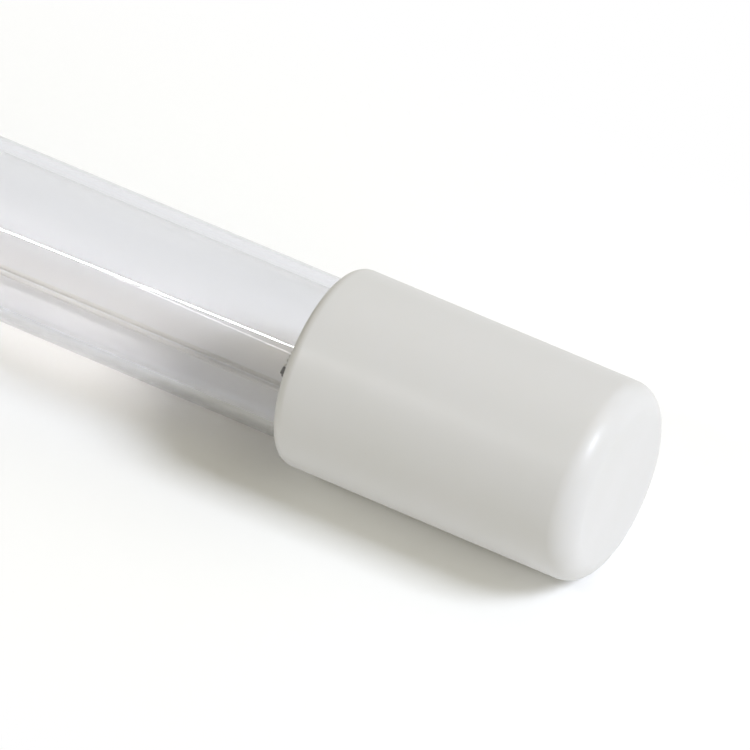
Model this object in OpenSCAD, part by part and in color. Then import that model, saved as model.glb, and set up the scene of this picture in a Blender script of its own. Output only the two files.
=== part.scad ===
// Straight low-pressure UV lamp: a quartz tube between two ceramic caps, with four contact pins on one
// cap. The lamp lies along X, with the pins towards -X. The origin is on the axis, on the face that
// carries the pins. Both ends are built alike, as stations counted inwards from the cap's closed face.

/* [Lamp] */
// Length over the two end caps, without the pins
lamp_length = 212; // [160:1:500]
// Turn of both electrode mounts about the lamp's axis, in degrees
mount_turn = 17.7; // [0:0.1:90]
// Clearance between pieces that fit each other
fit_gap = 0.05; // [0.02:0.01:0.1]

/* [Quartz tube] */
// Outer diameter of the tube
tube_d = 15.5; // [14:0.1:16]
// Wall of the tube
tube_wall = 1.2; // [0.8:0.1:1.5]
// Length of round tube inside each cap
tube_seat = 8; // [6:0.5:9]
// Radius of the closed shoulders
shoulder_r = 3.5; // [2.5:0.1:4]
// Length of the flat pinch seals
pinch_l = 10.5; // [9.5:0.1:11]
// Distance by which a pinch seal is narrower than the tube, on each side
pinch_margin = 1.25; // [0.5:0.05:2.5]
// Thickness of the flat pinch seals
pinch_t = 3.2; // [2.4:0.1:3.6]
// Diameter of the sealed exhaust tip
tip_d = 3; // [2.4:0.1:3.4]
// Length of the sealed exhaust tip
tip_l = 4; // [3:0.5:6]
// Wall of the exhaust tip
tip_wall = 0.7; // [0.5:0.1:0.9]

/* [End caps] */
// Wall of the caps around their bore
cap_wall = 1.35; // [1.2:0.05:3]
// Thickness of the caps' end wall
cap_end = 3; // [2.5:0.1:3.5]
// Room for cement between tube and cap
cement_room = 0.4; // [0.3:0.05:0.5]
// Fillet around the caps' closed face
cap_fillet = 2.4; // [1:0.1:2.4]
// Rounding of the caps' open rim
rim_round = 1.2; // [0.4:0.1:1.2]
// Depth of the cement behind the rim
cement_recess = 1.2; // [0.6:0.1:2]
// Length of pinch seal that stands clear of the cement
pinch_clear = 1; // [0.5:0.1:2]

/* [Contact pins] */
// Diameter of the pins
pin_d = 2.35; // [2.1:0.05:2.5]
// Length of the pins outside the cap
pin_l = 7; // [5:0.5:8]
// Diameter of the pins' shanks inside the cap's end wall
shank_d = 1.8; // [1.4:0.05:2]
// Distance between pins along Y
pin_pitch_y = 6.35; // [5.6:0.05:6.6]
// Distance between pins along Z
pin_pitch_z = 7.92; // [7.2:0.02:8.2]
// Depth of the wire's socket in the pins' inner end
pin_socket = 2.4; // [1.5:0.1:2.8]
// Room around the wire in that socket, filled by the crimp
pin_socket_room = 0.1; // [0.05:0.01:0.3]
// Rounding of the pins' tips
pin_tip_r = 0.7; // [0.3:0.1:0.9]
// Diameter of the collar that is let into the cap's face
collar_d = 3.4; // [3:0.1:3.6]
// Thickness of that collar
collar_t = 0.6; // [0.4:0.1:0.9]
// Diameter of the swaged flange inside the cap
flange_d = 3.2; // [2.8:0.1:3.6]
// Thickness of that flange
flange_t = 0.4; // [0.3:0.05:0.5]

/* [Electrodes] */
// Diameter of the lead rods
lead_d = 0.5; // [0.4:0.02:0.6]
// Distance between the two lead rods of an electrode
lead_pitch = 4.4; // [4:0.1:5]
// Length of the sealing foils
foil_l = 6; // [4.5:0.1:7]
// Width of the sealing foils
foil_w = 2.5; // [1.5:0.1:2.8]
// Thickness of the sealing foils
foil_t = 0.1; // [0.06:0.01:0.16]
// Length of lead rod that is welded to a foil
weld_l = 1.2; // [0.8:0.1:1.6]
// Length of bare lead rod between a pinch seal and its crimp ferrule
seal_clear = 1.2; // [0.6:0.1:3]
// Distance of the filament from the cap's rim
filament_reach = 2.2; // [2:0.05:30]
// Outer diameter of the filament coil
coil_d = 1.3; // [1:0.05:1.8]
// Diameter of the filament wire
coil_wire_d = 0.2; // [0.14:0.01:0.26]
// Turns of the filament coil
coil_turns = 7; // [4:1:9]
// Side of the square clamps that hold the filament
clamp_side = 0.9; // [0.8:0.05:1.1]
// Thickness of the clamps along the filament
clamp_t = 0.7; // [0.5:0.05:0.9]

/* [Wiring] */
// Diameter of the connecting wires
wire_d = 0.24; // [0.2:0.02:0.6]
// Wall of the sleeves on the return wires
sleeve_wall = 0.08; // [0.06:0.01:0.25]
// Distance between the two sleeves
return_gap = 0.2; // [0.15:0.05:1.5]
// Place of the return wires around the tube, in degrees from +Y
return_angle = 278.4; // [270:0.1:300]
// Distance of the sleeves' ends from the caps' end walls
sleeve_setback = 6; // [4:0.5:14]
// Height of the cross runs above the caps' end walls
cross_run = 1.2; // [1:0.05:2.5]
// Radius of the bends in the wires
bend_r = 0.6; // [0.4:0.05:0.8]
// Straight wire between a bend and its crimp ferrule
crimp_lead_in = 0.1; // [0:0.05:1]
// Wall of the crimp ferrules
crimp_wall = 0.3; // [0.2:0.05:0.5]
// Length of the crimp ferrules
crimp_l = 2.4; // [1.6:0.1:4]

/* [Mercury] */
// Diameter of the mercury bead
bead_d = 1.2; // [0.8:0.1:2]
// Distance of the mercury bead from the face that carries the pins
bead_at = 60; // [50:1:100]

/* [Hidden] */
tube_r = tube_d / 2;
bore_r = tube_r + cement_room;
cap_r = bore_r + cap_wall;
pin_r = pin_d / 2;
shank_r = shank_d / 2;
wire_r = wire_d / 2;
lead_r = lead_d / 2;
pin_socket_r = wire_r + pin_socket_room;
sleeve_bore_r = wire_r + fit_gap;
sleeve_r = sleeve_bore_r + sleeve_wall;
crimp_bore_r = max(wire_r, lead_r) + fit_gap;
crimp_r = crimp_bore_r + crimp_wall;
pinch_w = tube_d - 2 * pinch_margin;
coil_wire_r = coil_wire_d / 2;
over = 1; // length by which a cut runs past the face that it opens
coil_sides = 6; // flats around the filament wire
coil_steps = 10; // pieces of one filament turn
wire_sides = 8; // flats around a bent wire
bend_steps = 4; // pieces of one bend

// Stations along an end, counted inwards from the cap's closed face
socket_at = cap_end + flange_t - pin_socket;
cross_at = cap_end + cross_run;
crimp_from = cross_at + bend_r + crimp_lead_in;
lead_end = crimp_from + crimp_l / 2;
wire_end = lead_end - 2 * fit_gap;
pinch_end = crimp_from + crimp_l + seal_clear;
foil_from = pinch_end + (pinch_l - foil_l) / 2;
foil_to = foil_from + foil_l;
tube_end = pinch_end + pinch_l;
cap_l = tube_end + shoulder_r + tube_seat;
cement_from = pinch_end + pinch_clear;
cement_to = cap_l - cement_recess;
sleeve_from = cap_end + sleeve_setback;
filament_at = cap_l + filament_reach;

// Places across the lamp
lead_lift = foil_t / 2 + lead_r;
tip_lift = (pinch_t + tip_d) / 2 + 0.5;
slab_sink = shoulder_r / 2;
return_orbit = tube_r + fit_gap + sleeve_r;
return_spread = asin((sleeve_r + return_gap / 2) / return_orbit);
// The two return wires, then the two lead rods, seen along the lamp as [y, z]
return_places = [for (s = [1, -1]) around(return_orbit, return_angle + s * return_spread)];
lead_places = [for (s = [1, -1]) turned([s * lead_pitch / 2, lead_lift])];
// The four pins, as [y, z]: the first two feed the near filament, the last two the return wires
pin_places = [for (v = [1, -1], s = [1, -1]) [s * pin_pitch_y / 2, v * pin_pitch_z / 2]];

$fn = 64;

// A place around the lamp's axis, as [y, z]
function around(r, angle) = r * [cos(angle), sin(angle)];

// A place [y, z] turned with the electrode mounts
function turned(p) =
    [p.x * cos(mount_turn) - p.y * sin(mount_turn), p.x * sin(mount_turn) + p.y * cos(mount_turn)];

// The point at station x and place p = [y, z]
function spot(x, p) = [x, p.x, p.y];

function unit(v) = v / norm(v);

// A path with each inner corner rounded by a curve that starts a distance r before it
function rounded(path, r) = [
    path[0],
    for (i = [1 : len(path) - 2])
        let (
            before = path[i] - r * unit(path[i] - path[i - 1]),
            after = path[i] + r * unit(path[i + 1] - path[i])
        )
        for (k = [0 : bend_steps])
            let (s = k / bend_steps)
            (1 - s) * (1 - s) * before + 2 * s * (1 - s) * path[i] + s * s * after,
    path[len(path) - 1],
];

function direction(path, i) =
    unit(path[min(i + 1, len(path) - 1)] - path[max(i - 1, 0)]);

// A unit vector square to t and as near to n as that allows
function squared(n, t) = unit(n - (n * t) * t);

// A round bar of radius r along a path; first is any vector that isn't parallel to its start
module bar(path, r, sides, first) {
    count = len(path);
    normals = [
        for (
            i = 0, n = squared(first, direction(path, 0));
            i < count;
            i = i + 1, n = squared(n, direction(path, min(i, count - 1)))
        )
            n
    ];
    points = [
        for (i = [0 : count - 1])
            let (t = direction(path, i), n = normals[i], b = cross(t, n))
            for (j = [0 : sides - 1])
                path[i] + r * (cos(360 * j / sides) * n + sin(360 * j / sides) * b),
    ];
    walls = [
        for (i = [0 : count - 2], j = [0 : sides - 1])
            let (a = i * sides + j, b = i * sides + (j + 1) % sides)
            each [[a, a + sides, b + sides], [a, b + sides, b]],
    ];
    start = [[for (j = [0 : sides - 1]) j]];
    finish = [[for (j = [sides - 1 : -1 : 0]) (count - 1) * sides + j]];
    polyhedron(points, concat(walls, start, finish));
}

// Draws its children, which stand along Z, along X instead
module along_x() {
    rotate([0, 90, 0]) children();
}

// Puts an end's children at the far end of the lamp, facing back
module at_blank_end() {
    translate([lamp_length, 0, 0]) mirror([1, 0, 0]) children();
}

// A round rod from station x0 to x1 at the place p = [y, z]
module rod(x0, x1, r, p = [0, 0]) {
    translate(spot(x0, p)) along_x() cylinder(h = x1 - x0, r = r);
}

// A rectangle between two heights whose outer corners are rounded by r0 and r1
module rounded_side(radius, from, to, r0, r1) {
    intersection() {
        translate([0, from]) square([radius, to - from]);
        union() {
            translate([0, from + r0]) square([radius, to - from - r0 - r1]);
            translate([0, from]) square([radius - r0, (to - from) / 2]);
            translate([0, (from + to) / 2]) square([radius - r1, (to - from) / 2]);
            if (r0 > 0) translate([radius - r0, from + r0]) circle(r0);
            if (r1 > 0) translate([radius - r1, to - r1]) circle(r1);
        }
    }
}

// The round tube with its closed shoulders, shrunk by inset on every side
module round_form(inset) {
    corner = shoulder_r - inset;
    along_x() rotate_extrude()
        rounded_side(tube_r - inset, tube_end + inset, lamp_length - tube_end - inset, corner, corner);
}

// The flat seal and, where wanted, the exhaust tip of one end, grown by grow on every side
module seal_form(grow, with_tip) {
    rotate([mount_turn, 0, 0]) {
        translate([pinch_end - grow, -pinch_w / 2 - grow, -pinch_t / 2 - grow])
            cube([pinch_l + slab_sink + grow, pinch_w + 2 * grow, pinch_t + 2 * grow]);
        if (with_tip) {
            rod(tube_end - tip_l + tip_d / 2, tube_end + tube_wall, tip_d / 2 + grow, [0, tip_lift]);
            translate([tube_end - tip_l + tip_d / 2, 0, tip_lift]) sphere(tip_d / 2 + grow);
        }
    }
}

// The outer form of the quartz, grown by grow on every side
module quartz_form(grow) {
    round_form(-grow);
    seal_form(grow, true);
    at_blank_end() seal_form(grow, false);
}

// The pockets in one seal for the foils and the lead rods
module seal_pockets() {
    rotate([mount_turn, 0, 0])
        for (s = [1, -1]) {
            translate([foil_from - fit_gap, s * lead_pitch / 2 - foil_w / 2 - fit_gap, -foil_t / 2 - fit_gap])
                cube([foil_l + 2 * fit_gap, foil_w + 2 * fit_gap, foil_t + 2 * fit_gap]);
            rod(pinch_end - over, foil_from + weld_l + fit_gap, lead_r + fit_gap,
                [s * lead_pitch / 2, lead_lift]);
            rod(foil_to - weld_l - fit_gap, tube_end + slab_sink + over, lead_r + fit_gap,
                [s * lead_pitch / 2, lead_lift]);
        }
}

module quartz_tube() {
    color([0.86, 0.89, 0.92, 0.35]) difference() {
        quartz_form(0);
        round_form(tube_wall);
        seal_pockets();
        at_blank_end() seal_pockets();
        rotate([mount_turn, 0, 0])
            rod(tube_end - tip_l + tip_d / 2, tube_end + 2 * tube_wall, tip_d / 2 - tip_wall, [0, tip_lift]);
    }
}

// One ceramic cap, closed towards -X, with the two grooves for the return wires in its bore
module ceramic_cap() {
    difference() {
        along_x() rotate_extrude() rounded_side(cap_r, 0, cap_l, cap_fillet, rim_round);
        rod(cap_end, cap_l + over, bore_r);
        return_grooves(cap_end, cap_l + over);
    }
}

// The two channels that the sleeves of the return wires lie in
module return_grooves(from, to) {
    for (p = return_places) rod(from, to, sleeve_r + fit_gap, p);
}

module blank_cap() {
    color([0.93, 0.93, 0.92]) at_blank_end() ceramic_cap();
}

module base_cap() {
    color([0.93, 0.93, 0.92]) difference() {
        ceramic_cap();
        for (p = pin_places) {
            rod(-over, cap_end + over, shank_r + fit_gap, p);
            rod(-over, collar_t, collar_d / 2 + fit_gap, p);
        }
    }
}

// The cement of one end: a plug in the bore around the tube, with the return wires' channels
module cement_plug() {
    difference() {
        rod(cement_from, cement_to, bore_r - fit_gap);
        children();
        return_grooves(cement_from - over, cement_to + over);
    }
}

module base_cement() {
    color([0.80, 0.76, 0.68]) cement_plug() quartz_form(fit_gap);
}

module blank_cement() {
    color([0.80, 0.76, 0.68]) at_blank_end() cement_plug() at_blank_end() quartz_form(fit_gap);
}

// One pin: a rounded tip, a collar in the cap's face, a thinner shank through the end wall, a swaged
// flange behind that wall and a wire socket
module contact_pin(k) {
    color([0.78, 0.77, 0.72]) difference() {
        union() {
            translate(spot(-pin_l, pin_places[k])) along_x() rotate_extrude()
                rounded_side(pin_r, 0, pin_l + collar_t, pin_tip_r, 0);
            rod(0, collar_t, collar_d / 2, pin_places[k]);
            rod(0, cap_end + flange_t, shank_r, pin_places[k]);
            rod(cap_end, cap_end + flange_t, flange_d / 2, pin_places[k]);
        }
        rod(socket_at, cap_end + flange_t + over, pin_socket_r, pin_places[k]);
    }
}

// One sealing foil of an end; s is 1 or -1 for the side of the mount
module foil(s) {
    color([0.55, 0.55, 0.57]) rotate([mount_turn, 0, 0])
        translate([foil_from, s * lead_pitch / 2 - foil_w / 2, -foil_t / 2])
            cube([foil_l, foil_w, foil_t]);
}

// One inner lead rod, welded to its foil, with the clamp that holds the filament's tail
module inner_lead(s) {
    color([0.62, 0.62, 0.64]) rotate([mount_turn, 0, 0]) {
        rod(foil_to - weld_l, filament_at - clamp_side / 2, lead_r, [s * lead_pitch / 2, lead_lift]);
        difference() {
            translate([filament_at - clamp_side / 2, s * lead_pitch / 2 - clamp_t / 2, lead_lift - clamp_side / 2])
                cube([clamp_side, clamp_t, clamp_side]);
            translate([filament_at, s * lead_pitch / 2 - clamp_t / 2 - over, lead_lift])
                rotate([-90, 0, 0]) cylinder(h = clamp_t + 2 * over, r = coil_wire_r + fit_gap);
        }
    }
}

// One outer lead rod, welded to its foil, that leaves the seal towards the cap's end wall
module outer_lead(s) {
    color([0.62, 0.62, 0.64]) rotate([mount_turn, 0, 0])
        rod(lead_end, foil_from + weld_l, lead_r, [s * lead_pitch / 2, lead_lift]);
}

// The filament: a coil across the tube between the two clamps, with a straight tail in each
module filament() {
    half = (lead_pitch - clamp_t) / 2 - 3 * coil_wire_d;
    orbit = coil_d / 2 - coil_wire_r;
    reach = (lead_pitch + clamp_t) / 2;
    steps = coil_turns * coil_steps;
    coil = [
        for (k = [0 : steps])
            let (a = 360 * coil_turns * k / steps)
            [orbit * cos(a), -half + 2 * half * k / steps, orbit * sin(a)],
    ];
    path = concat(
        [[0, -reach, 0], [0, -half - 2 * coil_wire_d, 0]],
        coil,
        [[0, half + 2 * coil_wire_d, 0], [0, reach, 0]]
    );
    color([0.40, 0.40, 0.42]) rotate([mount_turn, 0, 0]) translate([filament_at, 0, lead_lift])
        bar(path, coil_wire_r, coil_sides, [0, 0, 1]);
}

// The wire from the near filament's lead k into pin k
module pin_wire(k) {
    path = [
        spot(socket_at + fit_gap, pin_places[k]),
        spot(cross_at, pin_places[k]),
        spot(cross_at, lead_places[k]),
        spot(wire_end, lead_places[k]),
    ];
    color([0.75, 0.74, 0.70]) bar(rounded(path, bend_r), wire_r, wire_sides, [0, 1, 0]);
}

// The return wire k: from pin k + 2 along the outside of the tube to the far filament's lead k
module return_wire(k) {
    path = [
        spot(socket_at + fit_gap, pin_places[k + 2]),
        spot(cross_at, pin_places[k + 2]),
        spot(cross_at, return_places[k]),
        spot(lamp_length - cross_at, return_places[k]),
        spot(lamp_length - cross_at, lead_places[k]),
        spot(lamp_length - wire_end, lead_places[k]),
    ];
    color([0.75, 0.74, 0.70]) bar(rounded(path, bend_r), wire_r, wire_sides, [0, 1, 0]);
}

// The sleeve around return wire k, from inside one cap to inside the other
module return_sleeve(k) {
    color([0.90, 0.89, 0.85]) difference() {
        rod(sleeve_from, lamp_length - sleeve_from, sleeve_r, return_places[k]);
        rod(sleeve_from - over, lamp_length - sleeve_from + over, sleeve_bore_r, return_places[k]);
    }
}

// The ferrule that joins lead rod k to its wire
module crimp(k) {
    color([0.80, 0.79, 0.76]) difference() {
        rod(crimp_from, crimp_from + crimp_l, crimp_r, lead_places[k]);
        rod(crimp_from - over, crimp_from + crimp_l + over, crimp_bore_r, lead_places[k]);
    }
}

// The bead of mercury, lying on the bottom of the tube
module mercury_bead() {
    color([0.78, 0.80, 0.82])
        translate([bead_at, 0, tube_wall - tube_r + bead_d / 2 + fit_gap])
            sphere(bead_d / 2);
}

quartz_tube();
blank_cap();
base_cap();
blank_cement();
base_cement();
contact_pin(0);  // contact_pin_1
contact_pin(1);  // contact_pin_2
contact_pin(2);  // contact_pin_3
contact_pin(3);  // contact_pin_4
foil(1);  // foil_base_1
foil(-1);  // foil_base_2
at_blank_end() foil(1);  // foil_blank_1
at_blank_end() foil(-1);  // foil_blank_2
inner_lead(1);  // inner_lead_base_1
inner_lead(-1);  // inner_lead_base_2
at_blank_end() inner_lead(1);  // inner_lead_blank_1
at_blank_end() inner_lead(-1);  // inner_lead_blank_2
outer_lead(1);  // outer_lead_base_1
outer_lead(-1);  // outer_lead_base_2
at_blank_end() outer_lead(1);  // outer_lead_blank_1
at_blank_end() outer_lead(-1);  // outer_lead_blank_2
filament();  // filament_base
at_blank_end() filament();  // filament_blank
pin_wire(0);  // pin_wire_1
pin_wire(1);  // pin_wire_2
return_wire(0);  // return_wire_1
return_wire(1);  // return_wire_2
return_sleeve(0);  // return_sleeve_1
return_sleeve(1);  // return_sleeve_2
crimp(0);  // crimp_base_1
crimp(1);  // crimp_base_2
at_blank_end() crimp(0);  // crimp_blank_1
at_blank_end() crimp(1);  // crimp_blank_2
mercury_bead();
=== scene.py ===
"""Looks of a straight quartz lamp with two ceramic caps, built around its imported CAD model."""

import sys

import logging
import math
from collections.abc import Callable, Mapping, Sequence
from dataclasses import dataclass, field
from enum import Enum
from typing import Any

import bmesh
import bpy
from mathutils import Matrix, Vector, noise


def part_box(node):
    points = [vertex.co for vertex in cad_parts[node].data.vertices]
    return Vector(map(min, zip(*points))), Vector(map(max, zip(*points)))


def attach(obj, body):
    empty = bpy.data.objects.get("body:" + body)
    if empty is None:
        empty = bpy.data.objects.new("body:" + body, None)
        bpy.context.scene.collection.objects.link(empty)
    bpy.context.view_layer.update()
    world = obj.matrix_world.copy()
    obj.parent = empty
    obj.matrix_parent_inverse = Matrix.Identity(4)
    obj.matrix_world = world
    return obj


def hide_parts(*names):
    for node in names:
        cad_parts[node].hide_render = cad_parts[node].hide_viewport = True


log = logging.getLogger("lamp")
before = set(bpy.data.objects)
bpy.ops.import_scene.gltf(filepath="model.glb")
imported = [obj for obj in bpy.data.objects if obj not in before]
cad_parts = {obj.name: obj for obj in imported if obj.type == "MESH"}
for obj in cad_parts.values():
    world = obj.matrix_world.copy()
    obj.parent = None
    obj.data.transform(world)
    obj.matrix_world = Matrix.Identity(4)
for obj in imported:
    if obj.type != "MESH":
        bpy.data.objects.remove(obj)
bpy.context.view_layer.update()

MM = 0.001
ROOT = "root"
PICTURE = 750  # width and height of the picture, in pixels

Colour = tuple[float, float, float]
Ring = list[Vector]


class End(Enum):
    """The lamp's two ends."""

    BASE = "base"
    BLANK = "blank"

    def x(self, lamp: "Lamp", station: float) -> float:
        """Gives the place along X of a station.

        Args:
            lamp: the lamp's measured sizes.
            station: distance inwards from the cap's closed face, in metres.

        Returns:
            The X coordinate in metres.
        """
        return station if self is End.BASE else lamp.length - station


@dataclass(frozen=True)
class Lamp:
    """Sizes that the pieces share, in metres. Those with no default are read off the frame."""

    length: float
    tube_r: float
    cap_r: float
    cap_l: float
    seal_from: float
    filament_at: float
    pin_r: float
    pin_l: float
    pin_pitch: tuple[float, float]
    sleeve_orbits: tuple[tuple[float, float], tuple[float, float]]
    sleeve_r: float
    sleeve_from: float
    tube_wall: float = 1.2 * MM
    bore_r: float = 8.15 * MM
    cap_end: float = 3.0 * MM
    cap_fillet: float = 2.4 * MM
    rim_round: float = 1.2 * MM
    cement_recess: float = 1.2 * MM
    seal_l: float = 10.5 * MM
    seal_w: float = 13.0 * MM
    seal_t: float = 3.2 * MM
    shoulder: float = 3.5 * MM
    mount_turn: float = math.radians(17.7)
    shank_r: float = 0.9 * MM
    lead_r: float = 0.25 * MM
    lead_pitch: float = 4.4 * MM
    lead_lift: float = 0.3 * MM
    foil_to: float = 16.75 * MM
    weld_l: float = 1.2 * MM
    fit_gap: float = 0.05 * MM

    @classmethod
    def measured(cls) -> "Lamp":
        """Reads the lamp's sizes off the frame's nodes."""
        cap_low, cap_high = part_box("blank_cap")
        tube_low, tube_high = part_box("quartz_tube")
        pin_low, pin_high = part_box("contact_pin_1")
        far_low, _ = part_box("contact_pin_4")
        wire_low, wire_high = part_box("filament_base")
        sleeves = [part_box(f"return_sleeve_{k}") for k in (1, 2)]
        orbits = tuple(((lo.y + hi.y) / 2, (lo.z + hi.z) / 2) for lo, hi in sleeves)
        return cls(
            length=cap_high.x,
            tube_r=(tube_high.z - tube_low.z) / 2,
            cap_r=(cap_high.z - cap_low.z) / 2,
            cap_l=cap_high.x - cap_low.x,
            seal_from=tube_low.x,
            filament_at=(wire_low.x + wire_high.x) / 2,
            pin_r=1.175 * MM,
            pin_l=-pin_low.x,
            pin_pitch=(pin_high.y - far_low.y - 3.4 * MM, pin_high.z - far_low.z - 3.4 * MM),
            sleeve_orbits=orbits,
            sleeve_r=(sleeves[0][1].y - sleeves[0][0].y) / 2,
            sleeve_from=sleeves[0][0].x,
        )

    @property
    def tube_end(self) -> float:
        """Station where the tube's closed shoulder meets its flat seal."""
        return self.seal_from + self.seal_l


# Shader graphs


class Num:
    """A shader value. Python's operators on it add Math nodes."""

    def __init__(self, graph: "Graph", socket: bpy.types.NodeSocket) -> None:
        """Keeps the graph and the socket that holds the value."""
        self.graph = graph
        self.socket = socket

    def __add__(self, other: "Num | float") -> "Num":
        """Adds a value."""
        return self.graph.math("ADD", self, other)

    def __radd__(self, other: float) -> "Num":
        """Adds to a number."""
        return self.graph.math("ADD", other, self)

    def __sub__(self, other: "Num | float") -> "Num":
        """Subtracts a value."""
        return self.graph.math("SUBTRACT", self, other)

    def __rsub__(self, other: float) -> "Num":
        """Subtracts from a number."""
        return self.graph.math("SUBTRACT", other, self)

    def __mul__(self, other: "Num | float") -> "Num":
        """Multiplies by a value."""
        return self.graph.math("MULTIPLY", self, other)

    def __rmul__(self, other: float) -> "Num":
        """Multiplies a number."""
        return self.graph.math("MULTIPLY", other, self)

    def __truediv__(self, other: "Num | float") -> "Num":
        """Divides by a value."""
        return self.graph.math("DIVIDE", self, other)

    def __pow__(self, other: "Num | float") -> "Num":
        """Raises to a power."""
        return self.graph.math("POWER", self, other)

    def at_least(self, other: "Num | float") -> "Num":
        """Gives the larger of two values."""
        return self.graph.math("MAXIMUM", self, other)

    def between(self, low: float, high: float) -> "Num":
        """Maps the value from low to high onto 0 to 1, held at both ends."""
        mapped = self.graph.node("ShaderNodeMapRange", {0: self, 1: low, 2: high, 3: 0.0, 4: 1.0}, clamp=True)
        return Num(self.graph, mapped.outputs[0])


class Graph:
    """Builds the nodes of one material or world."""

    def __init__(self, tree: bpy.types.NodeTree) -> None:
        """Takes an empty start on a node tree.

        Args:
            tree: the tree, whose nodes are removed.
        """
        self.tree = tree
        tree.nodes.clear()

    def node(
        self,
        kind: str,
        inputs: Mapping[int | str, Any] | None = None,
        ramp: Sequence[tuple[float, Colour]] = (),
        **settings: Any,
    ) -> bpy.types.Node:
        """Adds a node.

        Args:
            kind: the node's type name.
            inputs: values, or sockets and Nums to link, by the input's name or number.
            ramp: the stops of a colour ramp.
            **settings: the node's own settings, which are set before its inputs.

        Returns:
            The new node.
        """
        made = self.tree.nodes.new(kind)
        for name, value in settings.items():
            setattr(made, name, value)
        if ramp:
            stops = made.color_ramp.elements
            while len(stops) < len(ramp):
                stops.new(1.0)
            for stop, (place, colour) in zip(stops, ramp):
                stop.position = place
                stop.color = (*colour, 1.0)
        for name, value in (inputs or {}).items():
            socket = made.inputs[name]
            source = value.socket if isinstance(value, Num) else value
            if isinstance(source, bpy.types.NodeSocket):
                self.tree.links.new(source, socket)
            else:
                socket.default_value = (*value, 1.0) if self._short_colour(socket, value) else value
        return made

    @staticmethod
    def _short_colour(socket: bpy.types.NodeSocket, value: Any) -> bool:
        """Tells whether a three-number colour goes into a four-number socket."""
        return socket.type == "RGBA" and isinstance(value, tuple) and len(value) == 3

    def math(self, operation: str, a: "Num | float", b: "Num | float") -> Num:
        """Adds a Math node and gives its result."""
        return Num(self, self.node("ShaderNodeMath", {0: a, 1: b}, operation=operation).outputs[0])

    def place(self, stretch: tuple[float, float, float] = (1.0, 1.0, 1.0)) -> bpy.types.NodeSocket:
        """Gives Object coordinates, scaled along each axis."""
        raw = self.node("ShaderNodeTexCoord").outputs["Object"]
        if stretch == (1.0, 1.0, 1.0):
            return raw
        return self.node("ShaderNodeMapping", {"Vector": raw, "Scale": stretch}).outputs[0]

    def grain(self, scale: float, detail: float = 3.0, stretch: tuple[float, float, float] = (1.0, 1.0, 1.0)) -> Num:
        """Gives noise from 0 to 1.

        Args:
            scale: waves in a metre.
            detail: octaves of finer noise.
            stretch: factors on the coordinates along X, Y and Z.

        Returns:
            The noise.
        """
        made = self.node(
            "ShaderNodeTexNoise", {"Vector": self.place(stretch), "Scale": scale, "Detail": detail}
        )
        return Num(self, made.outputs[0])

    def cells(self, scale: float) -> Num:
        """Gives the distance to the nearest of scattered points, with scale of them in a metre."""
        made = self.node("ShaderNodeTexVoronoi", {"Vector": self.place(), "Scale": scale})
        return Num(self, made.outputs["Distance"])

    def tint(self, factor: Num, low: Colour, high: Colour) -> bpy.types.NodeSocket:
        """Mixes two colours."""
        made = self.node("ShaderNodeMix", {0: factor, 6: low, 7: high}, data_type="RGBA")
        return made.outputs[2]

    def bump(self, height: Num, depth: float, strength: float = 1.0) -> bpy.types.NodeSocket:
        """Gives a normal that is bumped by a height of 0 to 1, which is depth metres deep."""
        made = self.node("ShaderNodeBump", {"Height": height, "Distance": depth, "Strength": strength})
        return made.outputs[0]

    def surface(self, shader: bpy.types.NodeSocket, inside: bpy.types.NodeSocket | None = None) -> None:
        """Sends a surface's shader, and its inside's if it has one, to the output."""
        kind = "ShaderNodeOutputWorld" if self.tree.id_data.bl_rna.identifier == "World" else None
        self.node(kind or "ShaderNodeOutputMaterial", {"Surface": shader} | ({"Volume": inside} if inside else {}))

    def principled(self, **sockets: Any) -> bpy.types.NodeSocket:
        """Adds the main shader; a socket's name is written with underscores for its spaces."""
        named = {name.replace("_", " "): value for name, value in sockets.items()}
        return self.node("ShaderNodeBsdfPrincipled", named).outputs[0]


# Finishes


@dataclass(frozen=True)
class Finish:
    """A surface finish. Each kind draws its own nodes."""

    name: str

    def material(self) -> bpy.types.Material:
        """Makes the finish's material, once."""
        found = bpy.data.materials.get(self.name)
        if found:
            return found
        made = bpy.data.materials.new(self.name)
        made.use_nodes = True
        graph = Graph(made.node_tree)
        graph.surface(self.shade(graph), self.depth(graph))
        return made

    def depth(self, graph: Graph) -> bpy.types.NodeSocket | None:
        """Gives the shader of the finish's inside, where it has one."""
        return None

    def shade(self, graph: Graph) -> bpy.types.NodeSocket:
        """Draws the finish's nodes.

        Args:
            graph: the empty graph.

        Returns:
            The finished shader's socket.
        """
        raise NotImplementedError


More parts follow.
